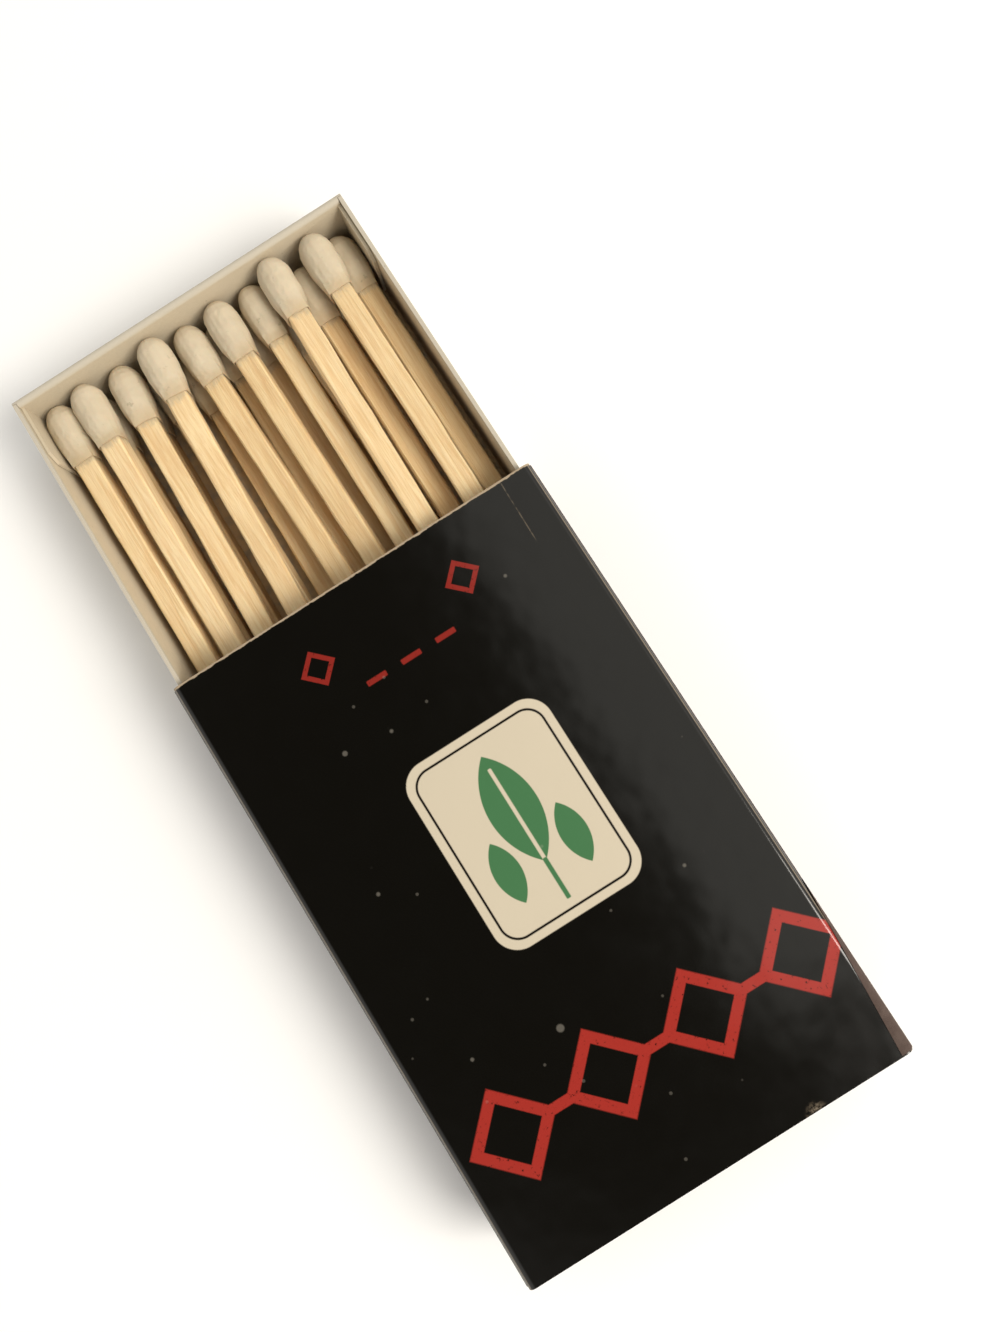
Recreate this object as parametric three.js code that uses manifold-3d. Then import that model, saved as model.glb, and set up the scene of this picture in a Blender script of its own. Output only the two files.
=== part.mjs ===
// A sliding-tray matchbox: a folded card sleeve, a folded card tray drawn half out, and a pile of matches.
// Millimetres. The origin is the middle of the sleeve's underside, +Y is the way the tray is drawn out,
// +X is the side wall with the glued lap, +Z is up.
import * as THREE from "three";
import { mergeVertices } from "three/addons/utils/BufferGeometryUtils.js";
import Module from "manifold-3d";

const wasm = await Module();
wasm.setup();

// Sleeve
const sleeveWidth = 36;
const sleeveLength = 56.5;
const sleeveHeight = 9.6;
const sleeveCard = 0.35;
const sleeveFold = 0.7; // outside radius of a fold
const creaseRadius = 0.25; // inside radius of a fold
const lapHeight = 7.9; // how far the glued inner flap runs up the right wall
const lapEdgeLift = 0.75; // the outer layer stops this far above the table

// Striking surfaces on both side walls. The right one is askew and runs over the top fold at the rear.
const strikerCoat = 0.08;
const strikerBottomMargin = 1.1;
const strikerEndMargin = 0.15;
const strikerLap = 1.1; // how far the right coat reaches in over the top panel at the rear end
const strikerSkew = 4.4; // degrees

// Tray
const sideClearance = 0.15; // between tray and sleeve, each side
const floorClearance = 0.08;
const rimClearance = 0.35; // between the tray's rim and the sleeve's top panel
const trayCard = 0.35;
const trayFold = 0.5;
const trayShort = 0.5; // the shut tray lies this much inside the sleeve's length
const trayDrawn = 30; // how far the tray sticks out of the sleeve
const layerSlit = 0.05; // between two layers of card that lie on each other
const earLength = 5.8;
const earCard = 0.28;
const earDrop = 0.5; // the ear's top edge below the rim
const earCorner = 0.9; // cut corner at an ear's free end
const endFloor = 3; // how far the end wall's own strip of floor runs in

// Matches
const stickSide = 2;
const stickChamfer = 0.16;
const matchLength = 48.3; // with its head
const headRadius = 1.6;
const headLength = 6.2;
const headCoat = 0.17; // thickness of the coat on the stick's flats where it ends
const stickInHead = 4.4;
const socketGap = 0.05;
const restGap = 0.05; // between a match and what it lies on
const wallGap = 0.06; // between a match and a wall beside it
const stickBow = 0.12; // the most a stick is bent sideways

// The pile, in the order in which the matches lie on each other. Lanes run from -1 at the left wall to 1 at
// the right one, for the head and for the tail. Tip is the room in front of the head, bow is a share of
// stickBow, roll is in degrees.
const lowerLayer = [
  { head: -1.0, tail: -0.97, tip: 1.1, bow: 0.5, roll: 2 },
  { head: -0.57, tail: -0.6, tip: 0.5, bow: -0.6, roll: -3 },
  { head: -0.16, tail: -0.21, tip: 1.4, bow: 0.4, roll: 4 },
  { head: 0.28, tail: 0.3, tip: 0.4, bow: 0.7, roll: -2 },
  { head: -0.79, tail: -0.79, tip: 0.3, bow: -0.4, roll: 3 },
  { head: -0.355, tail: -0.38, tip: 0.7, bow: 0.6, roll: -5 },
  { head: 0.07, tail: 0.07, tip: 0.3, bow: -0.7, roll: 2 },
  { head: 0.5, tail: 0.6, tip: 0.9, bow: 0.3, roll: -4 },
  { head: 0.85, tail: 0.9, tip: 0.6, bow: -0.5, roll: 3 },
];
const upperLayer = [
  { head: 0.71, tail: 0.67, tip: 1.1, bow: 0.5, roll: 4 },
  { head: -1.0, tail: -1.0, tip: 0.05, bow: 0.6, roll: -4 },
  { head: -0.545, tail: -0.67, tip: 0.05, bow: 0.8, roll: 5 },
  { head: -0.085, tail: -0.01, tip: 0.1, bow: -0.6, roll: -3 },
  { head: 0.385, tail: 0.36, tip: 0.05, bow: 0.4, roll: 2 },
  { head: 1.0, tail: 0.98, tip: 0.3, bow: -0.7, roll: 6 },
  { head: -0.79, tail: -0.835, tip: 0.1, bow: 0.7, roll: -6 },
  { head: -0.295, tail: -0.42, tip: 0.05, bow: -0.5, roll: 3 },
  { head: 0.155, tail: 0.18, tip: 0.1, bow: 0.5, roll: -5 },
  { head: 0.57, tail: 0.52, tip: 0.05, bow: -0.8, roll: 4 },
  { head: 0.86, tail: 0.83, tip: 0.2, bow: 0.6, roll: -2 },
];

// Where the tray lies, from the sleeve and the clearances
const lapFace = sleeveWidth / 2 - 2 * sleeveCard; // inner face of the doubled right wall
const leftFace = -(sleeveWidth / 2 - sleeveCard);
const trayWidth = lapFace - leftFace - 2 * sideClearance;
const trayMiddle = (lapFace + leftFace) / 2;
const trayHeight = sleeveHeight - 2 * sleeveCard - floorClearance - rimClearance;
const trayBottom = sleeveCard + floorClearance;
const trayLength = sleeveLength - trayShort;
const trayFarEnd = sleeveLength / 2 + trayDrawn;
const trayCentre = trayFarEnd - trayLength / 2;
const endThickness = 2 * trayCard + layerSlit;
const innerLayerFoot = trayCard + creaseRadius + layerSlit;
const sideWallInside = trayWidth / 2 - trayCard;
const earInside = sideWallInside - layerSlit - earCard;

// A closed solid from a geometry, without the flat slivers that a lathe leaves on its axis.
function solid(geometry) {
  const bare = new THREE.BufferGeometry();
  const whole = geometry.index ? geometry.toNonIndexed() : geometry;
  bare.setAttribute("position", whole.getAttribute("position"));
  const merged = mergeVertices(bare, 1e-4);
  const kept = [];
  for (let i = 0; i < merged.index.count; i += 3) {
    const [a, b, c] = [0, 1, 2].map((k) => merged.index.getX(i + k));
    if (a !== b && b !== c && c !== a) kept.push(a, b, c);
  }
  return new wasm.Manifold(
    new wasm.Mesh({
      numProp: 3,
      vertProperties: new Float32Array(merged.attributes.position.array),
      triVerts: new Uint32Array(kept),
    }),
  );
}

function meshOf(manifold, name) {
  const made = manifold.getMesh();
  const geometry = new THREE.BufferGeometry();
  geometry.setAttribute("position", new THREE.BufferAttribute(made.vertProperties, made.numProp));
  geometry.setIndex(new THREE.BufferAttribute(made.triVerts, 1));
  geometry.computeVertexNormals();
  const mesh = new THREE.Mesh(geometry);
  mesh.name = name;
  return mesh;
}

function box(x0, x1, y0, y1, z0, z1) {
  const block = new THREE.BoxGeometry(x1 - x0, y1 - y0, z1 - z0);
  return block.translate((x0 + x1) / 2, (y0 + y1) / 2, (z0 + z1) / 2);
}

// A shape drawn as (x, z), drawn out along +Y from y0 to y1.
function alongY(shape, y0, y1, steps = 1) {
  const drawn = new THREE.ExtrudeGeometry(shape, {
    depth: y1 - y0,
    steps,
    bevelEnabled: false,
    curveSegments: 5,
  });
  return drawn.rotateX(Math.PI / 2).translate(0, y1, 0);
}

// A shape drawn as (y, z), drawn out along +X from x0 to x1.
function alongX(shape, x0, x1) {
  const drawn = new THREE.ExtrudeGeometry(shape, {
    depth: x1 - x0,
    bevelEnabled: false,
    curveSegments: 5,
  });
  const turn = new THREE.Matrix4().set(0, 0, 1, 0, 1, 0, 0, 0, 0, 1, 0, 0, 0, 0, 0, 1);
  return drawn.applyMatrix4(turn).translate(x0, 0, 0);
}

// The sheet wraps the tray once. Its end stands on the outside of the right wall and leaves a small step at
// the foot, and its start lies inside that wall and ends in a step near the top.
function sleeveSheet() {
  const right = sleeveWidth / 2;
  const left = -right;
  const top = sleeveHeight;
  const r = sleeveFold;
  const flapOutside = right - sleeveCard;
  const outline = new THREE.Shape();
  outline.moveTo(left + r, 0);
  outline.lineTo(flapOutside - r, 0);
  outline.absarc(flapOutside - r, r, r, -Math.PI / 2, 0, false);
  outline.lineTo(flapOutside, lapEdgeLift);
  outline.lineTo(right, lapEdgeLift);
  outline.lineTo(right, top - r);
  outline.absarc(right - r, top - r, r, 0, Math.PI / 2, false);
  outline.lineTo(left + r, top);
  outline.absarc(left + r, top - r, r, Math.PI / 2, Math.PI, false);
  outline.lineTo(left, r);
  outline.absarc(left + r, r, r, Math.PI, 1.5 * Math.PI, false);

  const c = creaseRadius;
  const floor = sleeveCard;
  const ceiling = top - sleeveCard;
  const inside = new THREE.Path();
  inside.moveTo(leftFace + c, floor);
  inside.absarc(leftFace + c, floor + c, c, 1.5 * Math.PI, Math.PI, true);
  inside.lineTo(leftFace, ceiling - c);
  inside.absarc(leftFace + c, ceiling - c, c, Math.PI, Math.PI / 2, true);
  inside.lineTo(flapOutside - c, ceiling);
  inside.absarc(flapOutside - c, ceiling - c, c, Math.PI / 2, 0, true);
  inside.lineTo(flapOutside, lapHeight);
  inside.lineTo(lapFace, lapHeight);
  inside.lineTo(lapFace, floor + c);
  inside.absarc(lapFace - c, floor + c, c, 0, -Math.PI / 2, true);
  outline.holes.push(inside);
  return solid(alongY(outline, -sleeveLength / 2, sleeveLength / 2));
}

// A striking coat on the right wall, up to the top fold. Where it laps over the fold, it thins out to nothing
// on the top panel along a line that is askew to the fold.
function striker(lap) {
  const wall = sleeveWidth / 2;
  const top = sleeveHeight;
  const r = sleeveFold;
  const coat = strikerCoat;
  const reach = wall - strikerLap - 1;
  const section = new THREE.Shape();
  section.moveTo(wall, strikerBottomMargin);
  section.lineTo(wall + coat, strikerBottomMargin);
  section.lineTo(wall + coat, top - r);
  section.absarc(wall - r, top - r, r + coat, 0, Math.PI / 2, false);
  section.lineTo(reach, top + coat);
  section.lineTo(reach, top);
  section.lineTo(wall - r, top);
  section.absarc(wall - r, top - r, r, Math.PI / 2, 0, true);
  const end = sleeveLength / 2 - strikerEndMargin;
  const band = solid(alongY(section, -end, end));
  const from = lap > 0 ? wall - lap : wall + 2 * coat;
  const skew = lap > 0 ? strikerSkew : 0;
  const cut = solid(box(-sleeveWidth, 0, -sleeveLength, 2 * sleeveLength, top - r, top + 1))
    .rotate([0, 0, -skew])
    .translate([from, -end, 0]);
  return band.subtract(cut);
}

// Floor and side walls of the tray, between the end walls' outer layers.
function trayChannel() {
  const half = trayWidth / 2;
  const inner = sideWallInside;
  const r = trayFold;
  const c = creaseRadius;
  const section = new THREE.Shape();
  section.moveTo(-half + r, 0);
  section.lineTo(half - r, 0);
  section.absarc(half - r, r, r, -Math.PI / 2, 0, false);
  section.lineTo(half, trayHeight);
  section.lineTo(inner, trayHeight);
  section.lineTo(inner, trayCard + c);
  section.absarc(inner - c, trayCard + c, c, 0, -Math.PI / 2, true);
  section.lineTo(-inner + c, trayCard);
  section.absarc(-inner + c, trayCard + c, c, 1.5 * Math.PI, Math.PI, true);
  section.lineTo(-inner, trayHeight);
  section.lineTo(-half, trayHeight);
  section.lineTo(-half, r);
  section.absarc(-half + r, r, r, Math.PI, 1.5 * Math.PI, false);
  const reach = trayLength / 2 - trayCard - layerSlit;
  return solid(alongY(section, -reach, reach));
}

// An end wall: up from the floor, rolled over at the rim and down again on the inside, with an ear at each
// end of the inner layer that lies along the side wall.
function trayEnd() {
  const end = trayLength / 2;
  const half = trayWidth / 2;
  const r = trayFold;
  const c = creaseRadius;
  const roll = endThickness / 2;
  const shoulder = trayHeight - roll;
  const outer = end - trayCard;
  const inner = end - endThickness;
  const foot = innerLayerFoot;
  const profile = new THREE.Shape();
  profile.moveTo(end - endFloor, 0);
  profile.lineTo(end - r, 0);
  profile.absarc(end - r, r, r, -Math.PI / 2, 0, false);
  profile.lineTo(end, shoulder);
  profile.absarc(end - roll, shoulder, roll, 0, Math.PI, false);
  profile.lineTo(inner, foot);
  profile.lineTo(inner + trayCard, foot);
  profile.lineTo(inner + trayCard, shoulder);
  profile.lineTo(outer, shoulder);
  profile.lineTo(outer, trayCard + c);
  profile.absarc(outer - c, trayCard + c, c, 0, -Math.PI / 2, true);
  profile.lineTo(end - endFloor, trayCard);
  let wall = solid(alongX(profile, -half, half));

  for (const side of [-1, 1]) {
    const from = side * (sideWallInside - layerSlit);
    const to = side * (half + 1);
    const nook = box(
      Math.min(from, to), Math.max(from, to), inner - 1, outer, foot, trayHeight + 1,
    );
    wall = wall.subtract(solid(nook));
    wall = wall.add(ear(side));
  }
  return wall;
}

function ear(side) {
  const inner = trayLength / 2 - endThickness;
  const tip = inner - earLength;
  const low = innerLayerFoot;
  const high = trayHeight - earDrop;
  const outline = new THREE.Shape();
  outline.moveTo(inner + trayCard / 2, low);
  outline.lineTo(inner + trayCard / 2, high);
  outline.lineTo(tip + earCorner, high);
  outline.lineTo(tip, high - earCorner);
  outline.lineTo(tip, low + earCorner);
  outline.lineTo(tip + earCorner, low);
  const near = side * earInside;
  const far = side * (earInside + earCard);
  return solid(alongX(outline, Math.min(near, far), Math.max(near, far)));
}

function traySheet() {
  const far = trayEnd();
  const rear = trayEnd().rotate([0, 0, 180]);
  return trayChannel().add(far).add(rear).translate([trayMiddle, trayCentre, trayBottom]);
}

// Where a lane lies across the tray for a piece of this half width.
function laneX(lane, halfWidth) {
  return trayMiddle + lane * (earInside - wallGap - halfWidth);
}

// The height at which a head comes to rest on the floor or on the heads below it.
function headRest(x, pile) {
  const touch = 2 * headRadius + restGap;
  const onFloor = trayBottom + trayCard + restGap + headRadius;
  return pile.reduce((height, below) => {
    const across = Math.abs(x - below.head.x);
    if (across >= touch) return height;
    return Math.max(height, below.head.z + Math.sqrt(touch * touch - across * across));
  }, onFloor);
}

// The height at which a tail comes to rest, so that its stick clears every stick that it crosses.
function tailRest(headPoint, tailX, pile) {
  const stations = 24;
  const upTo = 0.84;
  const clear = stickSide + 3 * restGap;
  const beside = stickSide + 2 * stickBow + 2 * restGap;
  let height = trayBottom + trayCard + restGap + 0.54 * stickSide;
  for (const below of pile) {
    for (let i = 0; i <= stations; i++) {
      const t = (i / stations) * upTo;
      const x = THREE.MathUtils.lerp(tailX, headPoint.x, t);
      const belowX = THREE.MathUtils.lerp(below.tail.x, below.head.x, t);
      if (Math.abs(x - belowX) >= beside) continue;
      const belowZ = THREE.MathUtils.lerp(below.tail.z, below.head.z, t);
      height = Math.max(height, (belowZ + clear - headPoint.z * t) / (1 - t));
    }
  }
  return height;
}

function stackMatches() {
  const pile = [];
  const endFace = trayFarEnd - endThickness;
  for (const lie of [...lowerLayer, ...upperLayer]) {
    const tipY = endFace - lie.tip;
    const headX = laneX(lie.head, headRadius);
    const tailX = laneX(lie.tail, 0.6 * stickSide);
    const head = new THREE.Vector3(headX, tipY, headRest(headX, pile));
    const tailZ = tailRest(head, tailX, pile);
    const tail = new THREE.Vector3(tailX, tipY - matchLength, tailZ);
    pile.push({ head, tail, bow: lie.bow, roll: lie.roll });
  }
  return pile;
}

function squareSection(side) {
  const half = side / 2;
  const cut = half - stickChamfer;
  const corners = [
    [cut, -half], [half, -cut], [half, cut], [cut, half],
    [-cut, half], [-half, cut], [-half, -cut], [-cut, -half],
  ];
  return new THREE.Shape(corners.map(([x, z]) => new THREE.Vector2(x, z)));
}

// A stick along +Y that ends inside the head at y = 0, bent sideways by the most in its middle.
function stick(bow) {
  const woodEnd = stickInHead - headLength;
  const rear = -matchLength;
  const wood = alongY(squareSection(stickSide), rear, woodEnd, 6);
  const place = wood.getAttribute("position");
  const straight = -headLength;
  for (let i = 0; i < place.count; i++) {
    const share = (place.getY(i) - rear) / (straight - rear);
    if (share < 1) place.setX(i, place.getX(i) + bow * stickBow * Math.sin(Math.PI * share));
  }
  return solid(wood);
}

// How far from the axis the coat's surface is where it ends on the stick, for a direction round the axis.
function neckRadius(angle) {
  const across = Math.max(Math.abs(Math.cos(angle)), Math.abs(Math.sin(angle)));
  const flat = (stickSide / 2 + headCoat) / across;
  return Math.min(flat, stickSide / 2 - stickChamfer / 2 + 3.4 * headCoat);
}

// A dipped head: bullet shaped, and at its foot a thin coat that follows the stick, with the stick's end inside.
function dippedHead() {
  const straight = headLength - 1.25 * headRadius;
  const neckEnd = 2.6; // from here on the head is round
  const profile = [0, 0.6, 1.2, 1.9, neckEnd, straight].map((y) => [headRadius, y - headLength]);
  profile.unshift([0, -headLength]);
  for (const angle of [18, 36, 52, 66, 78, 90]) {
    const a = THREE.MathUtils.degToRad(angle);
    const y = straight - headLength + 1.25 * headRadius * Math.sin(a);
    profile.push([angle === 90 ? 0 : headRadius * Math.cos(a), y]);
  }
  const points = profile.map(([radius, y]) => new THREE.Vector2(radius, y));
  const shape = new THREE.LatheGeometry(points, 16);
  const place = shape.getAttribute("position");
  for (let i = 0; i < place.count; i++) {
    const [x, y, z] = [place.getX(i), place.getY(i), place.getZ(i)];
    const radius = Math.hypot(x, z);
    if (y + headLength >= neckEnd || radius < headRadius / 2) continue;
    const share = THREE.MathUtils.smoothstep(y + headLength, -0.3, neckEnd);
    const wanted = THREE.MathUtils.lerp(neckRadius(Math.atan2(z, x)), headRadius, share);
    place.setXYZ(i, (x * wanted) / radius, y, (z * wanted) / radius);
  }
  const coat = solid(shape);
  const socketFloor = stickInHead - headLength + socketGap;
  const socket = alongY(squareSection(stickSide + 2 * socketGap), -headLength - 1, socketFloor);
  return coat.subtract(solid(socket));
}

// The turn and shift that lay a match, made along +Y with its tip at the origin, into the pile.
function lieOf(match) {
  const along = match.head.clone().sub(match.tail).normalize();
  const across = along.clone().cross(new THREE.Vector3(0, 0, 1)).normalize();
  const up = across.clone().cross(along);
  const turn = new THREE.Matrix4().makeBasis(across, along, up);
  turn.multiply(new THREE.Matrix4().makeRotationY(THREE.MathUtils.degToRad(match.roll)));
  return turn.setPosition(match.head);
}

function laid(manifold, place) {
  return manifold.transform(place.elements);
}

const matchbox = new THREE.Group();
matchbox.name = "matchbox";
matchbox.add(meshOf(sleeveSheet(), "sleeve"));
matchbox.add(meshOf(striker(strikerLap), "striker_right"));
matchbox.add(meshOf(striker(0).rotate([0, 0, 180]), "striker_left"));
matchbox.add(meshOf(traySheet(), "tray"));

const headSolid = dippedHead();
stackMatches().forEach((match, i) => {
  const number = String(i + 1).padStart(2, "0");
  const place = lieOf(match);
  matchbox.add(meshOf(laid(stick(match.bow), place), "match_" + number + "_stick"));
  matchbox.add(meshOf(laid(headSolid, place), "match_" + number + "_head"));
});

export default matchbox;
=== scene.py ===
import math

import bpy
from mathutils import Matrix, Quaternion, Vector

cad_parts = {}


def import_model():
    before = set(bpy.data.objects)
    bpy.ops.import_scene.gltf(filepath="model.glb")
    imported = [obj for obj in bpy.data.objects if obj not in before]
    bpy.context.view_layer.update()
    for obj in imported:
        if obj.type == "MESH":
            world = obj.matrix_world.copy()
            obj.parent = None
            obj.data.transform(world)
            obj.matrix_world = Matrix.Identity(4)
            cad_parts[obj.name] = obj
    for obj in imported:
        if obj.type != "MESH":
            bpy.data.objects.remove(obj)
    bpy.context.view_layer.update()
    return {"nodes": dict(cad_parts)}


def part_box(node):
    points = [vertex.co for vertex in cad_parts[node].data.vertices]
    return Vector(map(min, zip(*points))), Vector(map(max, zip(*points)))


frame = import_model()
nodes = frame["nodes"]

# The camera, at the photo's angle: its turn is w, x, y and z, its lens is in millimetres, and its shift is a
# share of the sensor
CAMERA_PLACE_MM = (6.677, 7.953, 89.652)
CAMERA_TURN = (0.95892, 0.04805, 0.01830, -0.27899)
CAMERA_LENS = 26.05
CAMERA_SHIFT = (0.01101, -0.00645)

# The box in the row frame, in millimetres
TOP = 9.6  # the sleeve's top panel
SLEEVE_HALF_LENGTH = 28.25
TRAY_MIDDLE = (-0.175, 30.25)
TRAY_RIM = 8.9
HEAD_LENGTH = 6.2

# Light: the room, what is right overhead, and two lamps with their places in metres and their watts. The
# room goes dark between two heights, each the sine of its angle above the horizon.
ROOM_LIGHT = 0.88
OVERHEAD_LIGHT = 0.035
DARK_FROM, DARK_ABOVE = 0.66, 0.92
KEY_PLACE = (0.36, -0.35, 0.52)
KEY_SIZE = (0.34, 0.34)
KEY_WATTS = 4.7
SHEEN_PLACE = (0.27, 0.10, 0.50)
SHEEN_SIZE = (0.44, 0.60)
SHEEN_WATTS = 0.66

# Print on the sleeve's top panel, in millimetres from its middle
PANEL_MIDDLE = (1.3, 3.0)
DIAMOND_ROW = -17.4  # along Y, as are the next two rows
SMALL_DIAMONDS = 23.0
DASHES = 19.6
FIRST_DIAMOND = -12.6  # along X
DIAMOND_PITCH = 9.1
# Larger specks of dust: x, y and radius
SPECKS = (
    (-8.2, 15.7, 0.22),
    (-3.9, 15.2, 0.15),
    (11.1, 21.1, 0.14),
    (-11.9, 4.4, 0.16),
    (-4.9, -12.4, 0.32),
    (-12.3, -10.8, 0.15),
    (10.6, -6.8, 0.14),
)

# Colours of the print and of the card
IVORY = (0.58, 0.51, 0.39)
LEAF_GREEN = (0.058, 0.168, 0.070)
PRINT_RED = (0.335, 0.028, 0.020)
INK_BLACK = (0.0035, 0.003, 0.002)
DUST = (0.55, 0.50, 0.42)
CARD_CORE = (0.36, 0.28, 0.19)
CARD_INSIDE = (0.30, 0.24, 0.17)


class Nodes:
    """Short ways to add shader nodes to one material."""

    def __init__(self, name):
        self.material = bpy.data.materials.new(name)
        self.material.use_nodes = True
        self.tree = self.material.node_tree
        self.tree.nodes.clear()
        self.output = self.tree.nodes.new("ShaderNodeOutputMaterial")
        self.shader = self.tree.nodes.new("ShaderNodeBsdfPrincipled")
        self.tree.links.new(self.shader.outputs["BSDF"], self.output.inputs["Surface"])

    def put(self, socket, value):
        if isinstance(value, bpy.types.NodeSocket):
            self.tree.links.new(value, socket)
        elif isinstance(value, tuple) and len(value) == 3 and socket.type == "RGBA":
            socket.default_value = (*value, 1.0)
        else:
            socket.default_value = value

    def set(self, name, value):
        self.put(self.shader.inputs[name], value)

    def math(self, operation, a, b=0.0, c=0.0):
        node = self.tree.nodes.new("ShaderNodeMath")
        node.operation = operation
        for socket, value in zip(node.inputs, (a, b, c)):
            self.put(socket, value)
        return node.outputs[0]

    def times(self, a, b):
        return self.math("MULTIPLY", a, b)

    def length(self, a, b):
        return self.math("SQRT", self.math("ADD", self.times(a, a), self.times(b, b)))

    def mix(self, share, a, b):
        node = self.tree.nodes.new("ShaderNodeMix")
        node.data_type = "RGBA"
        self.put(node.inputs["Factor"], share)
        self.put(node.inputs[6], a)
        self.put(node.inputs[7], b)
        return node.outputs[2]

    def place_mm(self):
        """The point in the row frame, in millimetres, and its parts."""
        coords = self.tree.nodes.new("ShaderNodeTexCoord")
        scale = self.tree.nodes.new("ShaderNodeVectorMath")
        scale.operation = "SCALE"
        scale.inputs["Scale"].default_value = 1000.0
        self.put(scale.inputs[0], coords.outputs["Object"])
        split = self.tree.nodes.new("ShaderNodeSeparateXYZ")
        self.put(split.inputs[0], scale.outputs[0])
        return scale.outputs[0], split.outputs[0], split.outputs[1], split.outputs[2]

    def moved(self, vector, shift=(0, 0, 0), scale=(1, 1, 1)):
        node = self.tree.nodes.new("ShaderNodeMapping")
        node.vector_type = "POINT"
        self.put(node.inputs["Vector"], vector)
        node.inputs["Location"].default_value = shift
        node.inputs["Scale"].default_value = scale
        return node.outputs[0]

    def noise(self, vector, scale, detail=3.0, roughness=0.55, distortion=0.0):
        node = self.tree.nodes.new("ShaderNodeTexNoise")
        self.put(node.inputs["Vector"], vector)
        node.inputs["Scale"].default_value = scale
        node.inputs["Detail"].default_value = detail
        node.inputs["Roughness"].default_value = roughness
        node.inputs["Distortion"].default_value = distortion
        return node.outputs[0]

    def cells(self, vector, scale):
        node = self.tree.nodes.new("ShaderNodeTexVoronoi")
        self.put(node.inputs["Vector"], vector)
        node.inputs["Scale"].default_value = scale
        return node.outputs["Distance"], node.outputs["Color"]

    def step(self, value, low, high):
        """0 below low and 1 above high, smooth in between; turned round if low is the larger."""
        node = self.tree.nodes.new("ShaderNodeMapRange")
        node.interpolation_type = "SMOOTHSTEP"
        self.put(node.inputs["Value"], value)
        down = low > high
        node.inputs["From Min"].default_value = min(low, high)
        node.inputs["From Max"].default_value = max(low, high)
        node.inputs["To Min"].default_value = 1.0 if down else 0.0
        node.inputs["To Max"].default_value = 0.0 if down else 1.0
        return node.outputs[0]

    def bump(self, height, distance, strength=1.0):
        node = self.tree.nodes.new("ShaderNodeBump")
        node.inputs["Distance"].default_value = distance
        node.inputs["Strength"].default_value = strength
        self.put(node.inputs["Height"], height)
        self.put(self.shader.inputs["Normal"], node.outputs[0])

    def disc(self, x, y, cx, cy, radius, soft=0.08):
        """1 inside a round spot."""
        away = self.length(self.math("SUBTRACT", x, cx), self.math("SUBTRACT", y, cy))
        return self.step(away, radius + soft, radius - soft)

    def rounded(self, x, y, cx, cy, half_x, half_y, radius, soft=0.06):
        """1 inside a rectangle with round corners."""
        ax = self.math("ABSOLUTE", self.math("SUBTRACT", x, cx))
        ay = self.math("ABSOLUTE", self.math("SUBTRACT", y, cy))
        qx = self.math("MAXIMUM", self.math("SUBTRACT", ax, half_x - radius), 0.0)
        qy = self.math("MAXIMUM", self.math("SUBTRACT", ay, half_y - radius), 0.0)
        away = self.length(qx, qy)
        return self.step(away, radius + soft, radius - soft)

    def both(self, *masks):
        result = masks[0]
        for mask in masks[1:]:
            result = self.times(result, mask)
        return result

    def either(self, *masks):
        result = masks[0]
        for mask in masks[1:]:
            result = self.math("MAXIMUM", result, mask)
        return result

    def without(self, a, b):
        return self.times(a, self.math("SUBTRACT", 1.0, b))


def diamond(n, x, y, cx, cy, half, soft=0.03):
    """1 inside a square that stands on a corner."""
    ax = n.times(n.math("ABSOLUTE", n.math("SUBTRACT", x, cx)), 1 / half)
    ay = n.times(n.math("ABSOLUTE", n.math("SUBTRACT", y, cy)), 1 / half)
    return n.step(n.math("ADD", ax, ay), 1 + soft, 1 - soft)


def diamond_ring(n, x, y, cx, cy, half, width):
    """The outline of a diamond, width being its thickness across a side."""
    inner = half - 1.41 * width
    return n.without(diamond(n, x, y, cx, cy, half), diamond(n, x, y, cx, cy, inner))


def leaf(n, x, y, cx, cy, half_length, half_width):
    """1 inside a pointed leaf that lies along Y: where two discs overlap."""
    radius = (half_length**2 + half_width**2) / (2 * half_width)
    offset = radius - half_width
    return n.both(
        n.disc(x, y, cx - offset, cy, radius, 0.05),
        n.disc(x, y, cx + offset, cy, radius, 0.05),
    )


def leaf_panel(n, x, y):
    """The ivory panel, the line inside its edge, and the green leaves on it, as three masks."""
    cx, cy = PANEL_MIDDLE
    panel = n.rounded(x, y, cx, cy, 6.9, 8.7, 2.2)
    line_outside = n.rounded(x, y, cx, cy, 6.2, 8.0, 1.7)
    line_inside = n.rounded(x, y, cx, cy, 6.0, 7.8, 1.5)
    line = n.without(line_outside, line_inside)
    blade = leaf(n, x, y, cx, cy + 1.4, 5.0, 2.2)
    low_left = leaf(n, x, y, cx - 3.2, cy - 2.8, 2.8, 1.2)
    low_right = leaf(n, x, y, cx + 3.2, cy - 2.8, 2.8, 1.2)
    vein = n.rounded(x, y, cx, cy - 0.8, 0.16, 6.0, 0.1)
    stem = n.rounded(x, y, cx, cy - 5.2, 0.2, 1.9, 0.1)
    leaves = n.both(n.without(n.either(blade, low_left, low_right), vein), panel)
    return panel, line, n.either(leaves, stem)


def red_marks(n, x, y):
    """A row of large outlined diamonds, and smaller and fainter marks near the mouth."""
    row = [FIRST_DIAMOND + DIAMOND_PITCH * i for i in range(4)]
    large = [diamond_ring(n, x, y, cx, DIAMOND_ROW, 4.1, 0.95) for cx in row]
    for cx in row[:-1]:
        large.append(n.rounded(x, y, cx + DIAMOND_PITCH / 2, DIAMOND_ROW, 1.2, 0.45, 0.1))
    small = [diamond_ring(n, x, y, cx, SMALL_DIAMONDS, 1.7, 0.42) for cx in (-6.4, 8.0)]
    for cx in (-2.6, 0.8, 4.2):
        small.append(n.rounded(x, y, cx, DASHES, 0.95, 0.24, 0.1))
    return n.either(*large, n.times(n.either(*small), 0.7))


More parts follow.
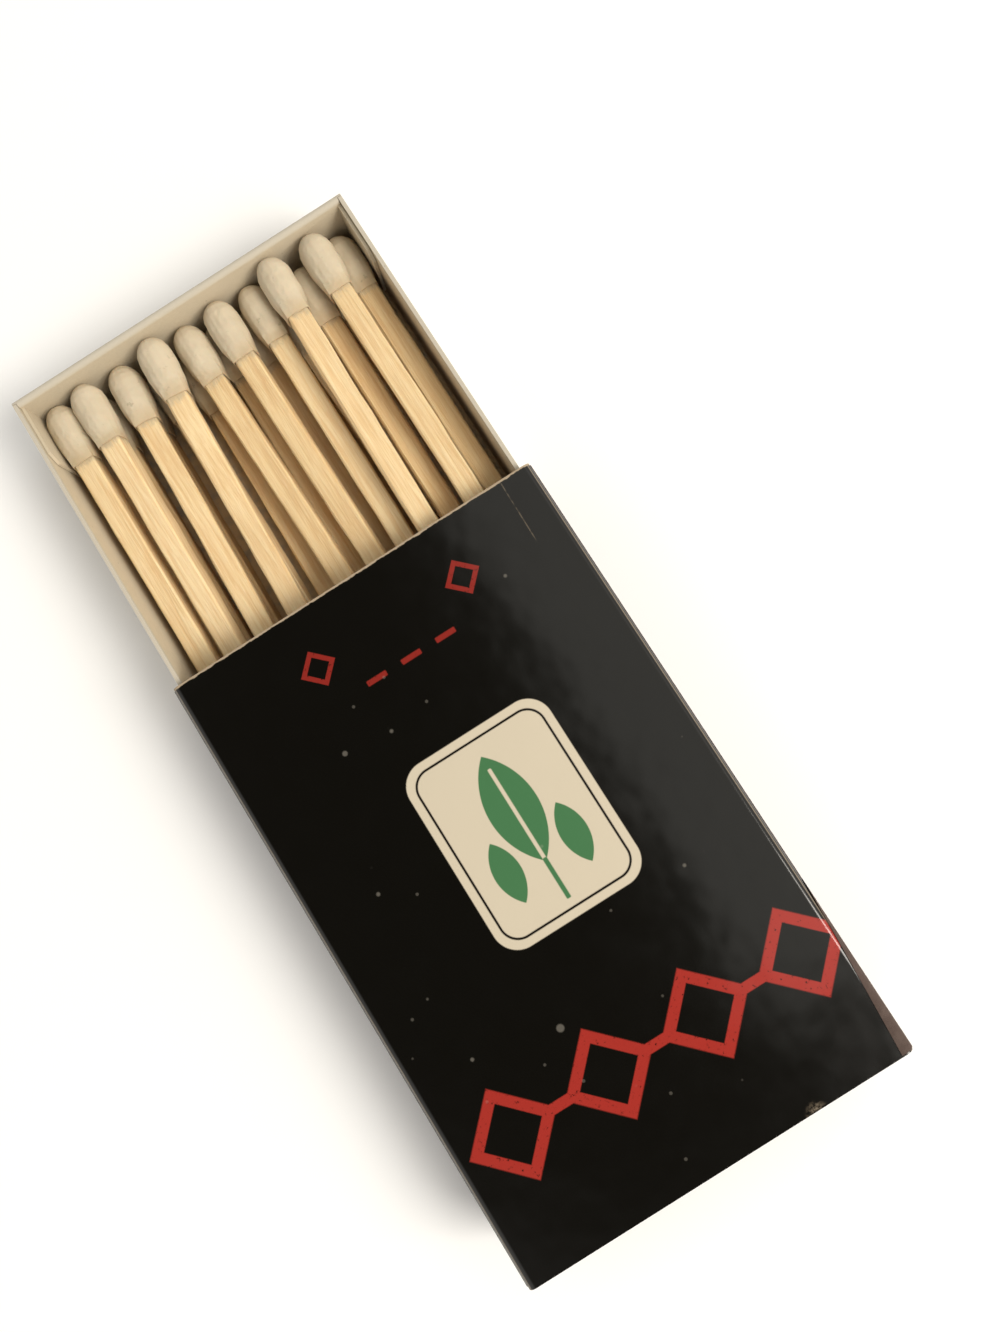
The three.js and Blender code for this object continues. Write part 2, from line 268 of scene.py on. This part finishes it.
def dust_specks(n, point, x, y):
    """Fine specks all over, and a few larger ones."""
    away, tint = n.cells(n.moved(point, scale=(0.55, 0.55, 0.55)), 1.0)
    chance = n.tree.nodes.new("ShaderNodeSeparateColor")
    n.put(chance.inputs[0], tint)
    fine = n.both(n.step(away, 0.10, 0.05), n.step(chance.outputs[0], 0.80, 0.84))
    large = n.either(*[n.disc(x, y, *speck) for speck in SPECKS])
    return n.either(n.times(fine, 0.10), n.times(large, 0.17))


def bare_card(n, point, x, y, on_top):
    """Where the print is gone: rubbed off in places along the mouth, chipped at the rear, and scratched."""
    from_end = n.math("SUBTRACT", SLEEVE_HALF_LENGTH, n.math("ABSOLUTE", y))
    ragged = n.times(n.noise(n.moved(point, scale=(1.4, 1.4, 1.4)), 1.0, 4.0, 0.7), 0.34)
    rubbed = n.step(n.math("SUBTRACT", from_end, ragged), 0.03, -0.05)
    mouth = n.both(rubbed, n.step(y, -1.0, 1.0))

    chip_shape = n.times(n.step(n.noise(point, 2.6, 4.0, 0.7), 0.40, 0.62), 0.45)
    chip = n.both(n.disc(x, y, 8.9, -28.4, 0.75, 0.4), chip_shape)

    scratch_x = n.math("MULTIPLY_ADD", n.math("SUBTRACT", y, 22.0), 0.02, 14.9)
    off_scratch = n.math("ABSOLUTE", n.math("SUBTRACT", x, scratch_x))
    broken = n.both(n.step(y, 22.0, 23.0), n.step(n.noise(point, 0.9, 2.0), 0.35, 0.5))
    scratch = n.both(n.step(off_scratch, 0.07, 0.03), broken, on_top)
    return n.either(mouth, chip, n.times(scratch, 0.22))


def inside_sleeve(n, x, z):
    """1 on the sleeve's inner faces, which lie further in than the print."""
    within_walls = n.step(n.math("ABSOLUTE", x), 17.85, 17.72)
    return n.both(within_walls, n.step(z, 0.12, 0.2), n.step(z, TOP - 0.1, TOP - 0.2))


def printed_card():
    n = Nodes("printed_card")
    point, x, y, z = n.place_mm()
    on_top = n.step(z, TOP - 0.25, TOP - 0.1)
    panel, line, leaves = leaf_panel(n, x, y)
    patchy = n.step(n.noise(point, 3.2, 5.0, 0.7), 0.30, 0.42)

    ink = n.mix(n.both(panel, on_top), INK_BLACK, IVORY)
    ink = n.mix(n.both(line, on_top), ink, INK_BLACK)
    ink = n.mix(n.both(leaves, on_top), ink, LEAF_GREEN)
    ink = n.mix(n.both(red_marks(n, x, y), on_top, patchy), ink, PRINT_RED)

    dust = n.both(dust_specks(n, point, x, y), on_top)
    bare = bare_card(n, point, x, y, on_top)
    inside = inside_sleeve(n, x, z)
    ink = n.mix(dust, ink, DUST)
    ink = n.mix(bare, ink, CARD_CORE)
    n.set("Base Color", n.mix(inside, ink, CARD_INSIDE))

    dull = n.either(bare, inside, dust)
    gloss = n.math("MULTIPLY_ADD", n.noise(point, 0.35, 3.0), 0.08, 0.11)
    n.set("Roughness", n.math("MAXIMUM", gloss, n.times(dull, 0.9)))
    n.set("Specular IOR Level", 0.5)
    swell = n.math("ADD", n.noise(point, 0.16, 2.0), n.times(n.noise(point, 3.5, 3.0), 0.006))
    n.bump(swell, 0.00014, 0.6)
    return n.material


def striking_coat():
    """Reddish brown grit, paler in patches."""
    n = Nodes("striking_coat")
    point = n.place_mm()[0]
    grit = n.noise(point, 7.0, 6.0, 0.8)
    patch = n.noise(point, 1.1, 4.0, 0.65)
    colour = n.mix(grit, (0.045, 0.026, 0.020), (0.105, 0.070, 0.056))
    n.set("Base Color", n.mix(n.times(n.step(patch, 0.4, 0.8), 0.7), colour, (0.12, 0.085, 0.07)))
    n.set("Roughness", 0.93)
    n.bump(grit, 0.00008, 0.8)
    return n.material


def painted_floor_light(n, point, x, y, z):
    """Painted light: the floor inside the tray made pale in patches, lifting the shade in the gaps between
    the sticks.
    """
    across = n.math("ABSOLUTE", n.math("SUBTRACT", x, TRAY_MIDDLE[0]))
    along = n.math("ABSOLUTE", n.math("SUBTRACT", y, TRAY_MIDDLE[1]))
    within_walls = n.both(n.step(across, 17.05, 16.9), n.step(along, 27.6, 27.3))
    at_floor = n.both(n.step(z, 1.1, 0.85), n.step(z, 0.5, 0.65))
    return n.both(within_walls, at_floor, n.step(n.noise(point, 0.8, 3.0), 0.25, 0.6))


def grey_board():
    """Beige board with fibres and dark flecks, with painted light along the rim and on the floor between the
    sticks.
    """
    n = Nodes("grey_board")
    point, x, y, z = n.place_mm()
    fibre = n.noise(n.moved(point, scale=(1.0, 0.35, 1.0)), 5.0, 6.0, 0.7)
    cloud = n.noise(point, 0.22, 3.0)
    colour = n.mix(fibre, (0.48, 0.405, 0.285), (0.62, 0.54, 0.405))
    colour = n.mix(n.step(cloud, 0.4, 0.8), colour, (0.56, 0.48, 0.355))
    # Painted light on the floor, lifting the shade in the gaps between the sticks
    colour = n.mix(painted_floor_light(n, point, x, y, z), colour, (0.82, 0.63, 0.38))
    # Painted light: the rim's top gets its own greyer colour for how the light falls on it
    rim = n.step(z, TRAY_RIM - 0.45, TRAY_RIM - 0.1)
    colour = n.mix(n.times(rim, 0.8), colour, (0.50, 0.455, 0.375))
    away = n.cells(point, 1.1)[0]
    fleck = n.both(n.step(away, 0.12, 0.05), n.step(n.noise(point, 1.3, 2.0), 0.55, 0.6))
    n.set("Base Color", n.mix(n.times(fleck, 0.35), colour, (0.16, 0.12, 0.08)))
    n.set("Roughness", 0.88)
    n.bump(fibre, 0.00006, 0.6)
    return n.material


def match_wood(number, tip_y):
    """Each stick is cut from other wood, so the grain and the tone are shifted by its number. Next to the
    head, the dip has left a thin film on it."""
    n = Nodes(f"match_wood_{number:02d}")
    point, _, y, _ = n.place_mm()
    shift = (number * 3.7, number * 11.3, number * 5.1)

    def grain_noise(scale, *settings):
        return n.noise(n.moved(point, shift=shift, scale=scale), 1.0, *settings)

    grain = grain_noise((3.2, 0.10, 3.2), 5.0, 0.62, 0.35)
    fine = grain_noise((9.0, 0.4, 9.0), 4.0, 0.6)
    slow = grain_noise((0.25, 0.06, 0.25), 2.0)
    tone = (number * 0.381966) % 1.0
    light = (0.85 - 0.09 * tone, 0.68 - 0.10 * tone, 0.415 - 0.09 * tone)
    dark = (0.74 - 0.10 * tone, 0.52 - 0.09 * tone, 0.275 - 0.06 * tone)
    colour = n.mix(n.step(grain, 0.32, 0.68), dark, light)
    colour = n.mix(n.times(n.step(fine, 0.5, 0.8), 0.35), colour, (0.88, 0.75, 0.51))
    colour = n.mix(n.times(n.step(slow, 0.45, 0.75), 0.35), colour, (0.60, 0.42, 0.22))

    along = n.math("SUBTRACT", tip_y, y)
    ragged = n.times(grain_noise((1.3, 0.7, 1.3), 4.0, 0.65), 2.6)
    film = n.step(n.math("SUBTRACT", along, ragged), HEAD_LENGTH - 0.55, HEAD_LENGTH - 1.35)
    n.set("Base Color", n.mix(n.times(film, 0.9), colour, (0.55, 0.435, 0.28)))
    n.set("Roughness", 0.72)
    n.set("Subsurface Weight", 0.22)
    n.set("Subsurface Scale", 0.0012)
    n.set("Subsurface Radius", (1.0, 0.7, 0.4))
    n.set("Specular IOR Level", 0.3)
    n.bump(n.math("ADD", grain, n.times(fine, 0.5)), 0.00012, 0.8)
    return n.material


def head_coat(number, tip_y):
    """Cream coat, thin and greyish where it runs out on the wood, with small blemishes."""
    n = Nodes(f"head_coat_{number:02d}")
    point, _, y, _ = n.place_mm()
    here = n.moved(point, shift=(number * 5.3, number * 2.9, number * 7.7))
    colour = n.mix(n.noise(here, 0.5, 3.0), (0.53, 0.435, 0.30), (0.63, 0.54, 0.40))
    along = n.math("SUBTRACT", tip_y, y)
    wobble = n.times(n.noise(here, 0.9, 3.0), 1.6)
    thin = n.step(n.math("ADD", along, wobble), HEAD_LENGTH - 0.9, HEAD_LENGTH + 0.9)
    colour = n.mix(n.times(thin, 0.8), colour, (0.52, 0.395, 0.245))
    spot = n.both(n.step(n.noise(here, 1.1, 4.0, 0.6), 0.64, 0.72), n.step(along, 1.0, 2.5))
    n.set("Base Color", n.mix(n.times(spot, 0.5), colour, (0.30, 0.255, 0.175)))
    n.set("Roughness", 0.78)
    n.set("Specular IOR Level", 0.25)
    n.set("Subsurface Weight", 0.08)
    n.set("Subsurface Scale", 0.001)
    dents = n.math("ADD", n.noise(here, 0.8, 2.0), n.times(n.noise(here, 4.0, 4.0), 0.12))
    n.bump(dents, 0.0003, 0.6)
    return n.material


def mark_folds(mesh, degrees):
    """Marks as sharp each edge whose two faces differ by more than this. The faces share no points, so an
    edge is known by where its ends are."""
    sides = {}
    for face in mesh.polygons:
        for key in face.edge_keys:
            ends = frozenset(tuple(round(c, 7) for c in mesh.vertices[i].co) for i in key)
            sides.setdefault(ends, []).append(face.normal)
    limit = math.cos(math.radians(degrees))
    for edge in mesh.edges:
        ends = frozenset(tuple(round(c, 7) for c in mesh.vertices[i].co) for i in edge.vertices)
        normals = sides[ends]
        edge.use_edge_sharp = len(normals) == 2 and normals[0].dot(normals[1]) < limit


def dress(name, material, fold=30, finer=0, uneven=None):
    """Paints a CAD node and shades it smooth up to this fold. Uneven is (size, depth) in millimetres."""
    piece = nodes[name]
    mesh = piece.data
    mesh.materials.clear()
    mesh.materials.append(material)
    for face in mesh.polygons:
        face.use_smooth = True
    mark_folds(mesh, fold)
    if "custom_normal" in mesh.attributes:
        mesh.attributes.remove(mesh.attributes["custom_normal"])
    weld = piece.modifiers.new("weld", "WELD")
    weld.merge_threshold = 1e-6
    if finer:
        split = piece.modifiers.new("finer", "SUBSURF")
        split.subdivision_type = "SIMPLE"
        split.levels = split.render_levels = finer
    if uneven:
        size, depth = uneven
        cloud = bpy.data.textures.new(name + "_uneven", "CLOUDS")
        cloud.noise_scale = size / 1000
        cloud.noise_depth = 1
        push = piece.modifiers.new("uneven", "DISPLACE")
        push.texture = cloud
        push.texture_coords = "LOCAL"
        push.strength = depth / 1000
        push.mid_level = 0.5


def dress_matches():
    """Each match gets its own wood and its own coat, which start from the tip of its head."""
    for name in sorted(nodes):
        if not name.startswith("match_"):
            continue
        number = int(name.split("_")[1])
        tip_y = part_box(name.replace("stick", "head"))[1].y * 1000
        if name.endswith("stick"):
            dress(name, match_wood(number, tip_y), fold=25, finer=2, uneven=(3.0, 0.16))
        else:
            dress(name, head_coat(number, tip_y), fold=50, finer=2, uneven=(1.6, 0.16))


def area_light(name, place, aim, size, power, colour):
    data = bpy.data.lights.new(name, "AREA")
    data.shape = "RECTANGLE"
    data.size, data.size_y = size
    data.energy = power
    data.color = colour
    lamp = bpy.data.objects.new(name, data)
    bpy.context.scene.collection.objects.link(lamp)
    lamp.location = place
    lamp.rotation_mode = "QUATERNION"
    lamp.rotation_quaternion = (Vector(place) - Vector(aim)).to_track_quat("Z", "Y")


def floor():
    bpy.ops.mesh.primitive_plane_add(size=4, location=(0, 0, -0.00002))
    plane = bpy.context.object
    plane.name = "floor"
    n = Nodes("floor")
    n.set("Base Color", (0.92, 0.92, 0.92))
    n.set("Roughness", 0.9)
    plane.data.materials.append(n.material)


def world():
    """A pale room that is dark right overhead, where the glossy card would mirror it."""
    made = bpy.data.worlds.new("studio")
    made.use_nodes = True
    tree = made.node_tree
    coords = tree.nodes.new("ShaderNodeTexCoord")
    split = tree.nodes.new("ShaderNodeSeparateXYZ")
    tree.links.new(coords.outputs["Generated"], split.inputs[0])
    height = tree.nodes.new("ShaderNodeMapRange")
    height.interpolation_type = "SMOOTHSTEP"
    height.inputs["From Min"].default_value = DARK_FROM
    height.inputs["From Max"].default_value = DARK_ABOVE
    height.inputs["To Min"].default_value = ROOM_LIGHT
    height.inputs["To Max"].default_value = OVERHEAD_LIGHT
    tree.links.new(split.outputs[2], height.inputs["Value"])
    back = tree.nodes["Background"]
    back.inputs["Color"].default_value = (1.0, 0.97, 0.92, 1)
    tree.links.new(height.outputs[0], back.inputs["Strength"])
    bpy.context.scene.world = made


def camera():
    data = bpy.data.cameras.new("camera")
    data.sensor_width = 36
    data.lens = CAMERA_LENS
    data.shift_x, data.shift_y = CAMERA_SHIFT
    data.clip_start = 0.005
    eye = bpy.data.objects.new("camera", data)
    bpy.context.scene.collection.objects.link(eye)
    eye.location = [v / 1000 for v in CAMERA_PLACE_MM]
    eye.rotation_mode = "QUATERNION"
    eye.rotation_quaternion = Quaternion(CAMERA_TURN)
    bpy.context.scene.camera = eye


dress("sleeve", printed_card())
coat = striking_coat()
dress("striker_right", coat)
dress("striker_left", coat)
dress("tray", grey_board())
dress_matches()

floor()
world()
area_light("key", KEY_PLACE, (0, 0.02, 0), KEY_SIZE, KEY_WATTS, (1, 0.95, 0.87))
area_light("sheen", SHEEN_PLACE, (0.27, 0.10, 0), SHEEN_SIZE, SHEEN_WATTS, (1, 0.98, 0.90))
camera()
bpy.context.scene.view_settings.view_transform = "Standard"
